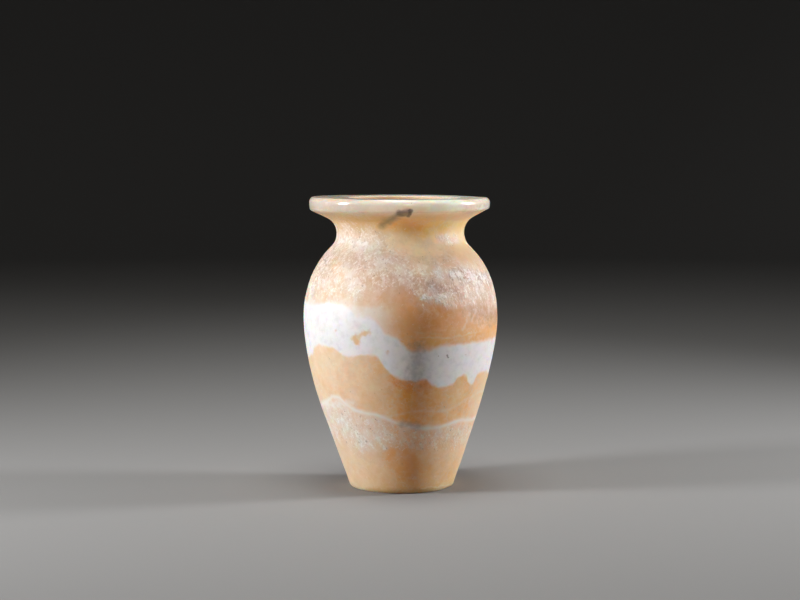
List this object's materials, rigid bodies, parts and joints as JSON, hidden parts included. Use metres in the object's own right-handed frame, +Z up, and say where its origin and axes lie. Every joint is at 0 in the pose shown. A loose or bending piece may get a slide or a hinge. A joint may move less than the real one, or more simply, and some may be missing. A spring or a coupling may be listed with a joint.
{
  "type": "vase",
  "caption": "Hand-carved banded alabaster vase: small flat foot, ovoid body swelling to a high shoulder, short waisted neck and a wide, thick, flat rim round an open mouth.",
  "frame": {"origin": "middle of the flat underside, on the surface that the vase stands on", "axes": "+Z up along the vase's axis; -Y towards the front, the side in the picture; +X to the right as seen from the front"},
  "size_m": [0.1684, 0.1684, 0.2504],
  "materials": {
    "alabaster": "hand-polished translucent alabaster, honey and amber with a white band, glossier on the rim than on the body"
  },
  "bodies": {
    "root": {"vase": "alabaster"}
  },
  "joints": []
}
